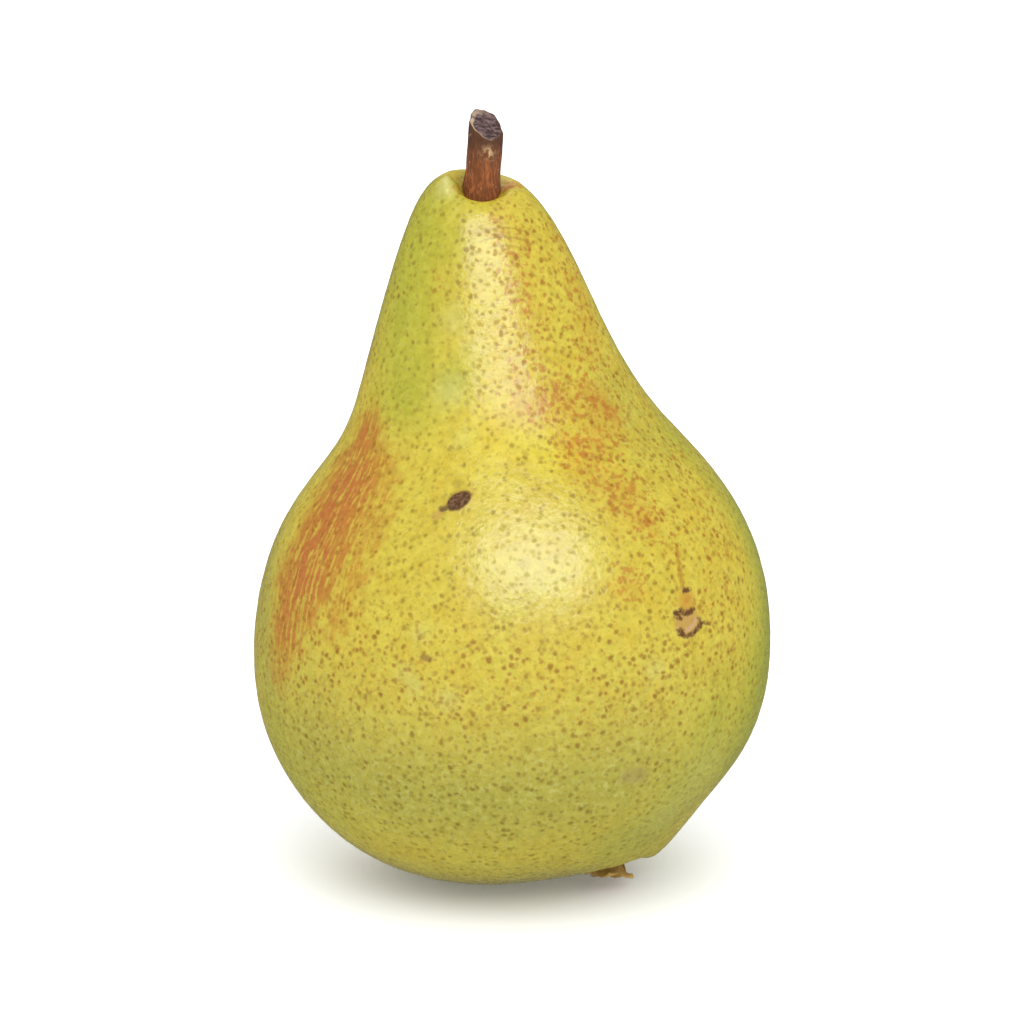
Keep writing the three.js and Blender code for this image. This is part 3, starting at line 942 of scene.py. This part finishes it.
def new_piece(name, points, faces, material, node, values):
    """A smooth piece from points in millimetres, with named values per point for its material."""
    mesh = bpy.data.meshes.new(name)
    mesh.from_pydata((np.asarray(points) * MM).tolist(), [], [tuple(int(i) for i in f) for f in faces])
    for key, numbers in values.items():
        numbers = np.asarray(numbers, np.float32)
        kind, field = ("FLOAT", "value") if numbers.ndim == 1 else ("FLOAT_VECTOR", "vector")
        mesh.attributes.new(key, kind, "POINT").data.foreach_set(field, numbers.ravel())
    mesh.materials.append(material)
    mesh.polygons.foreach_set("use_smooth", [True] * len(mesh.polygons))
    mesh.update()
    piece = bpy.data.objects.new(name, mesh)
    bpy.context.scene.collection.objects.link(piece)
    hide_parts(node)
    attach(piece, "root")


def make_fruit():
    """The flesh and its skin, with low relief, flat where the pear stands."""
    values = skin_values()
    points = SKIN + SKIN_NORMALS * skin_relief()[:, None]
    points[:, 2] = np.maximum(points[:, 2], 0)
    new_piece("pear_flesh", points, ring_faces(len(SKIN), AROUND), skin_material(), "fruit", values)


STEM_AROUND = 96
STEM_ROWS = 90
STEM_ANGLES = [math.tau * j / STEM_AROUND for j in range(STEM_AROUND)]
BARK_DEPTH = 0.05
TOP_BEVEL = 0.12
SCUFF = {"across": 0.5, "up": 5.6, "radius": 0.8}
PALE_RIM_TURN = math.radians(20)
CUT_INSET = 0.62
CUT_RINGS = 9

# The cut end from its edge inwards: inset, sink, 1 where it is wood, 1 where the pale rim reaches it
CUT_STEPS = [
    (0.6 * CUT_RIM, -0.02, 0, 1),
    (CUT_RIM, 0.05, 1, 1),
    (CUT_RIM + 0.12, 0.5 * CUT_SINK, 1, 1),
    (CUT_INSET, CUT_SINK, 1, 0),
]


def upright(axis):
    """The turn that lays the Z axis along another axis."""
    return Vector((0, 0, 1)).rotation_difference(axis)


def smoothstep(x):
    x = min(max(x, 0.0), 1.0)
    return x * x * (3 - 2 * x)


def stem_radius(height, angle):
    """The radius at a height above the root, with ridges, the bark's grain and small knots."""
    foot = 1 - smoothstep((height - STEM_ROOT_DEPTH) / STEM_FOOT_HEIGHT)
    plain = STEM_SHAFT_RADIUS + (STEM_FOOT_RADIUS - STEM_SHAFT_RADIUS) * foot
    ridges = sum(share * (math.cos(lobes * angle + phase) - 1) for share, lobes, phase in STEM_RIDGES)
    c, s = math.cos(angle), math.sin(angle)
    bark = noise.noise(Vector((2.2 * c, 2.2 * s, height * 0.22 + 7)))
    knots = noise.noise(Vector((1.1 * c, 1.1 * s, height * 0.55)))
    return plain * (1 + ridges * (1 - foot)) - BARK_DEPTH * (1 + bark) - BARK_DEPTH * (1 + knots)


class Stem:
    """Rings of points up the stem and over its cut end, with the values that its material reads."""

    def __init__(self):
        self.root = PIT_FLOOR - STEM_AXIS * STEM_ROOT_DEPTH
        self.length = STEM_ROOT_DEPTH + STEM_RISE
        self.turn = upright(STEM_AXIS)
        self.slope = self.turn.inverted() @ CUT_NORMAL
        self.points = []
        self.values = {"height": [], "cut": [], "rim": [], "scuff": []}

    def add(self, x, y, share, sink=0.0, cut=0, rim=0.0):
        """A point at a share of the way up to the slanting cut, sunk below that by so much."""
        height = (self.length - (self.slope.x * x + self.slope.y * y) / self.slope.z) * share - sink
        self.points.append(self.turn @ Vector((x, y, height)) + self.root)
        above = height - STEM_ROOT_DEPTH
        scuffed = math.hypot(x - SCUFF["across"], above - SCUFF["up"]) / SCUFF["radius"]
        self.values["height"].append(above / STEM_RISE)
        self.values["cut"].append(cut)
        self.values["rim"].append(rim)
        self.values["scuff"].append(math.exp(-(scuffed**2)) if y < 0 else 0.0)

    def add_shaft(self):
        """The bark from the root to the cut, with a narrow bevel at its top."""
        for i in range(STEM_ROWS + 1):
            bevel = TOP_BEVEL if i == STEM_ROWS else 0
            for angle in STEM_ANGLES:
                r = stem_radius(self.length * i / STEM_ROWS, angle) - bevel
                self.add(r * math.cos(angle), r * math.sin(angle), i / STEM_ROWS)

    def add_cut_edge(self):
        """The edge of the bark, palest at the left, and the step down to the wood."""
        for inset, sink, wood, pale in CUT_STEPS:
            for angle in STEM_ANGLES:
                r = stem_radius(self.length, angle) - inset
                left = 0.5 - 0.5 * math.cos(angle - PALE_RIM_TURN)
                self.add(r * math.cos(angle), r * math.sin(angle), 1, sink, wood, pale * left**1.5)

    def add_cut_face(self):
        """The sunken wood, rippled by the cut."""
        for k in range(1, CUT_RINGS):
            for angle in STEM_ANGLES:
                r = (stem_radius(self.length, angle) - CUT_INSET) * (1 - k / CUT_RINGS)
                x, y = r * math.cos(angle), r * math.sin(angle)
                ripple = 0.07 * math.sin(4.2 * (0.8 * x + y)) + 0.08 * noise.noise(Vector((x, y, 3)) * 1.6)
                self.add(x, y, 1, CUT_SINK - ripple, 1)


def make_stem():
    """The woody stem, with ridges, small knots, and a slanting cut below a rim of bark."""
    stem = Stem()
    stem.add(0, 0, 0)
    stem.add_shaft()
    stem.add_cut_edge()
    stem.add_cut_face()
    stem.add(0, 0, 1, CUT_SINK, 1)
    points = leaned(np.array(stem.points)) + SHIFT
    faces = ring_faces(len(points), STEM_AROUND)
    new_piece("stem_wood", points, faces, bark_material(), "stem", stem.values)


SEPAL_AROUND = 20
SEPAL_ROWS = 26
SEPAL_REACHES = (1.05, 0.84, 1.0, 0.95, 1.0)  # how much further out each finer sepal reaches
SEPAL_STANDS = (1.5, 1.5, 1.15, 0.8, 0.95)  # and how much further down
SEPAL_FULLNESS = 1.15
SEPAL_THICK = 0.42  # half of it, at the root
SEPAL_RIB = {"depth": 0.14, "width": 0.25}
SEPAL_CURL = (0.15, 0.35)
TIP_START = 0.85
TIP_NARROWING = 0.3
DISC_TOP = [(2.0, 0.05), (1.5, 0.1), (0.9, -0.1), (0.4, -0.05)]
DISC_PROFILE = [(DISC_RADIUS, -DISC_DEPTH), (DISC_RADIUS, -0.2), *DISC_TOP]  # radius, height
DISC_AROUND = 40
STAMENS = 14
STAMEN_AROUND = 6
STAMEN_ROWS = 6
STAMEN_THICK = 0.09
STAMEN_TIP = 0.45
CALYX_SEED = 11


class Shape:
    """Points, faces and tip values of several closed forms in one mesh."""

    def __init__(self):
        self.points, self.faces, self.tips = [], [], []

    def add(self, points, around, tips):
        start = len(self.points)
        self.points += points
        self.faces += [tuple(i + start for i in face) for face in ring_faces(len(points), around)]
        self.tips += tips


def path_point(path, share):
    """A point of a smooth curve through a list of points, and its direction."""
    spans = len(path) - 1
    i = min(int(share * spans), spans - 1)
    t = share * spans - i
    p0, p1, p2, p3 = (path[min(max(i + k, 0), spans)] for k in (-1, 0, 1, 2))
    linear, square, cube = p2 - p0, 2 * p0 - 5 * p1 + 4 * p2 - p3, 3 * p1 - p0 - 3 * p2 + p3
    point = 0.5 * (2 * p1 + linear * t + square * t**2 + cube * t**3)
    return point, (linear + 2 * square * t + 3 * cube * t**2).normalized()


def add_sepal(shape, turn, reach, further, stand, chance):
    """A dried sepal: ribbed down the middle, uneven at the edge and curled at the tip."""
    blade = [(out * reach * further, up * reach * stand) for out, up in SEPAL_BLADE]
    path = [Vector((out, 0, up)) for out, up in SEPAL_ROOT + blade]
    spin = Quaternion((0, 0, 1), turn)
    curl, ragged = chance.uniform(*SEPAL_CURL), chance.uniform(0, 50)
    points, tips = [], []
    for i in range(SEPAL_ROWS + 1):
        share = i / SEPAL_ROWS
        centre, along = path_point(path, share)
        out = Vector((along.z, 0, -along.x))
        narrowing = 1 - TIP_NARROWING * max(share - TIP_START, 0) / (1 - TIP_START)
        half_width = SEPAL_FULLNESS * SEPAL_WIDTH / 2 * (1 - SEPAL_TAPER * share**3) * narrowing
        half_width *= 1 + 0.07 * noise.noise(Vector((share * 6, ragged, 0)))
        half_thick = SEPAL_THICK * (1 - 0.3 * share)
        for j in range(SEPAL_AROUND):
            a = math.tau * j / SEPAL_AROUND
            y = half_width * math.sin(a)
            rib = SEPAL_RIB["depth"] * math.exp(-((y / SEPAL_RIB["width"]) ** 2)) * (1 - share)
            uneven = 0.06 * noise.noise(Vector((share * 4, y * 1.2, ragged)))
            lift = curl * (y / half_width) ** 2 * share - rib + uneven
            point = centre + out * (half_thick * math.cos(a) * (1 - 0.5 * abs(math.sin(a))) - lift)
            points.append(spin @ Vector((point.x, y, point.z)))
            tips.append(0.25 + 0.75 * share)
    start, (end, along) = path_point(path, 0)[0], path_point(path, 1)
    points = [spin @ start, *points, spin @ (end + along * 0.15)]
    shape.add(points, SEPAL_AROUND, [0.2, *tips, 1.0])


def add_stamen(shape, start, end, bow):
    """A thin bent thread with a small knob at its end."""
    along = (end - start).normalized()
    side = (end - start).orthogonal().normalized()
    other = along.cross(side)
    points, tips = [start], [0.1]
    for i in range(STAMEN_ROWS + 1):
        share = i / STAMEN_ROWS
        centre = start.lerp(end, share) + bow * (4 * share * (1 - share))
        r = STAMEN_THICK * (1.9 if share > 0.8 else 1 - 0.3 * share)
        for j in range(STAMEN_AROUND):
            a = math.tau * j / STAMEN_AROUND
            points.append(centre + side * (r * math.cos(a)) + other * (r * math.sin(a)))
            tips.append(STAMEN_TIP * share)
    points.append(end + along * STAMEN_THICK)
    tips.append(STAMEN_TIP)
    shape.add(points, STAMEN_AROUND, tips)


def add_disc(shape):
    """The woody disc that carries the sepals."""
    points = [Vector((0, 0, -DISC_DEPTH))]
    for radius, height in DISC_PROFILE:
        for j in range(DISC_AROUND):
            a = math.tau * j / DISC_AROUND
            bump = 0.08 * noise.noise(Vector((math.cos(a) * 3, math.sin(a) * 3, radius)))
            points.append(Vector((radius * math.cos(a), radius * math.sin(a), height + bump)))
    points.append(Vector((0, 0, -0.05)))
    tips = [0.0] + [0.15] * (len(points) - 2) + [0.1]
    shape.add(points, DISC_AROUND, tips)


def make_calyx():
    """Five dried sepals on their disc, round a tuft of dried stamens."""
    chance = random.Random(CALYX_SEED)
    shape = Shape()
    add_disc(shape)
    for (turn, reach), further, stand in zip(SEPALS, SEPAL_REACHES, SEPAL_STANDS):
        add_sepal(shape, math.radians(turn), reach, further, stand, chance)
    for k in range(STAMENS):
        a = math.tau * (k + chance.uniform(-0.3, 0.3)) / STAMENS
        out, rise = chance.uniform(0.4, 1.0), chance.uniform(0.9, 1.7)
        start = Vector((0.8 * math.cos(a), 0.8 * math.sin(a), -0.2))
        end = Vector((out * math.cos(a + 0.3), out * math.sin(a + 0.3), rise))
        bow = Vector((chance.uniform(-0.3, 0.3), chance.uniform(-0.3, 0.3), 0))
        add_stamen(shape, start, end, bow)
    turn = upright(CALYX_AXIS)
    points = leaned(np.array([turn @ p + BASIN_FLOOR for p in shape.points])) + SHIFT
    values = {"tip": shape.tips}
    new_piece("calyx_sepals", points, shape.faces, calyx_material(), "calyx", values)


# Studio: sizes and distances in metres, angles in degrees

FLOOR_HALF = 6.0
FLOOR_COLOUR = srgb(244, 246, 251)
FLOOR_GLOW = 0.12  # keeps the shadow on the pale floor light
WHITE = (1, 1, 1, 1)
AMBIENT = 1.04
ROOM_GLOSS = 0.2
LIGHT_COLOUR = (1.0, 0.985, 0.95)
LIGHTS = [  # name, azimuth, elevation, distance, width, height, energy
    ("softbox", 8, 48, 1.4, 1.24, 0.9, 11.6),
    ("back_light", 196, 42, 1.6, 1.1, 0.9, 4.0),
]
LENS = 300
SENSOR_WIDTH = 36
CAMERA_DISTANCE = 1.14
AIM = Vector((0.0, 0.0, 0.0505))


def aimed(ob, direction, distance):
    """Puts a light or camera this far from the aim point, looking at it."""
    ob.location = AIM + direction * distance
    ob.rotation_euler = (-direction).to_track_quat("-Z", "Y").to_euler()
    bpy.context.scene.collection.objects.link(ob)


def make_floor():
    mesh = bpy.data.meshes.new("studio_floor")
    h = FLOOR_HALF
    mesh.from_pydata([(-h, -h, 0), (h, -h, 0), (h, h, 0), (-h, h, 0)], [], [(0, 1, 2, 3)])
    floor = bpy.data.objects.new("studio_floor", mesh)
    bpy.context.scene.collection.objects.link(floor)
    n = Nodes("studio_floor")
    n.set(Base_Color=FLOOR_COLOUR, Roughness=0.9, Specular_IOR_Level=0)
    n.set(Emission_Color=WHITE, Emission_Strength=FLOOR_GLOW)
    mesh.materials.append(n.material)
    floor.visible_glossy = False


def make_room():
    """A room that is white to look at and in its light on surfaces, and dim in their gloss."""
    world = bpy.data.worlds.new("studio")
    bpy.context.scene.world = world
    world.use_nodes = True
    tree = world.node_tree
    background = tree.nodes["Background"]
    background.inputs["Color"].default_value = WHITE
    glossy = tree.nodes.new("ShaderNodeLightPath").outputs["Is Glossy Ray"]
    strength = tree.nodes.new("ShaderNodeMapRange")
    tree.links.new(glossy, strength.inputs["Value"])
    strength.inputs["To Min"].default_value = AMBIENT
    strength.inputs["To Max"].default_value = ROOM_GLOSS
    tree.links.new(strength.outputs[0], background.inputs["Strength"])


def make_light(name, azimuth, elevation, distance, width, height, energy):
    """A soft box. Azimuth 0 is on the camera's side, 90 to the right."""
    a, e = math.radians(azimuth), math.radians(elevation)
    lamp = bpy.data.lights.new(name, "AREA")
    lamp.shape = "RECTANGLE"
    lamp.size, lamp.size_y = width, height
    lamp.energy = energy
    lamp.color = LIGHT_COLOUR
    direction = Vector((math.sin(a) * math.cos(e), -math.cos(a) * math.cos(e), math.sin(e)))
    aimed(bpy.data.objects.new(name, lamp), direction, distance)


def make_camera():
    data = bpy.data.cameras.new("camera")
    data.lens = LENS
    data.sensor_width = SENSOR_WIDTH
    camera = bpy.data.objects.new("camera", data)
    aimed(camera, Vector(VIEW_BACK), CAMERA_DISTANCE)
    bpy.context.scene.camera = camera


make_fruit()
make_stem()
make_calyx()
make_floor()
make_room()
for light in LIGHTS:
    make_light(*light)
make_camera()
bpy.context.scene.view_settings.view_transform = "Standard"
